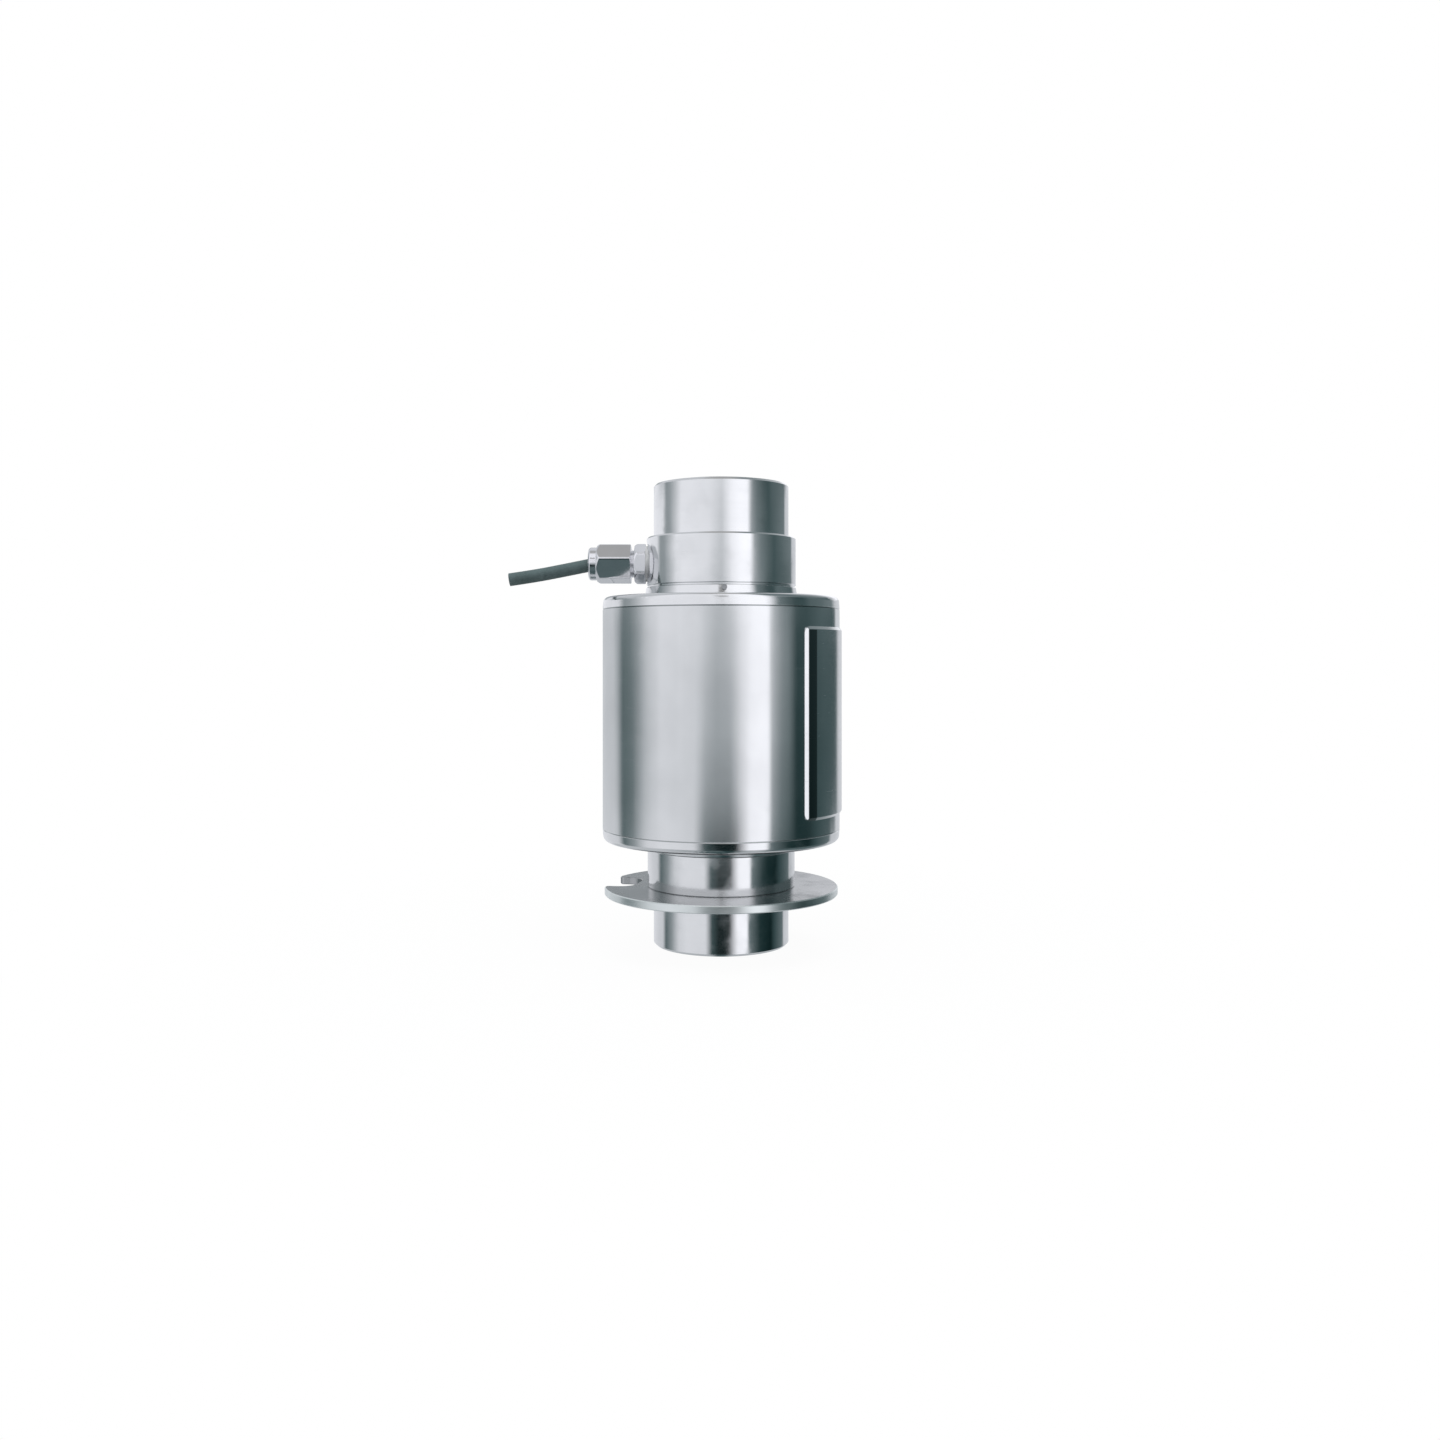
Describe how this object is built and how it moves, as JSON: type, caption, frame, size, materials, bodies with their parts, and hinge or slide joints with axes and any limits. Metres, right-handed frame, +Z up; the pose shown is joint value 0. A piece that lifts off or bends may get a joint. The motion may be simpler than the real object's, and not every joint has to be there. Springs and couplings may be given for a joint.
{
  "type": "column load cell",
  "caption": "Canister load cell: a turned steel column with domed round ends in a sealed canister, a notched plate on its lower end and a cable gland on its upper end",
  "frame": {"origin": "pole of the lower spherical load face, on the column's axis", "axes": "+Z runs up the column, -X is the side of the cable gland, -Y faces the camera"},
  "size_m": [0.141, 0.1, 0.1981],
  "materials": {
    "turned_steel": "fine turned stainless steel",
    "canister_steel": "stainless tube, fine vertical polish",
    "cap_steel": "turned stainless steel",
    "plate_steel": "satin stainless sheet with a cut edge",
    "spring_steel": "dark spring steel",
    "nameplate_metal": "bare formed sheet, satin",
    "nickel_plate": "nickel-plated brass, glossy",
    "seal_rubber": "black rubber",
    "ring_nylon": "pale nylon sealing ring",
    "jacket": "dark grey-green cable jacket",
    "core_red_skin": "red core insulation",
    "core_black_skin": "black core insulation",
    "core_green_skin": "green core insulation",
    "core_white_skin": "white core insulation",
    "board_green": "green circuit board",
    "spacer_brass": "plain brass",
    "screw_steel": "zinc-plated steel",
    "lug_tin": "tinned solder lugs",
    "chip_black": "black ceramic chips",
    "gauge_foil": "amber foil gauge",
    "lead_copper": "enamelled copper wire"
  },
  "bodies": {
    "root": {"column_body": "turned_steel", "outer_shell": "canister_steel", "upper_cap": "cap_steel", "lower_cap": "cap_steel", "antirotation_plate": "plate_steel", "retaining_ring": "spring_steel", "nameplate": "nameplate_metal", "gland_body": "nickel_plate", "gland_o_ring": "ring_nylon", "gland_cap_nut": "nickel_plate", "gland_seal": "seal_rubber", "gland_clamp_insert": "nickel_plate", "cable": "jacket", "cable_lead_in": "jacket", "core_red": "core_red_skin", "core_black": "core_black_skin", "core_green": "core_green_skin", "core_white": "core_white_skin", "terminal_board": "board_green", "board_spacers": "spacer_brass", "board_screws": "screw_steel", "solder_lugs": "lug_tin", "trim_resistors": "chip_black", "gauge_right": "gauge_foil", "gauge_back": "gauge_foil", "gauge_left": "gauge_foil", "gauge_front": "gauge_foil", "gauge_leads": "lead_copper", "fill_plug": "turned_steel"}
  },
  "joints": []
}
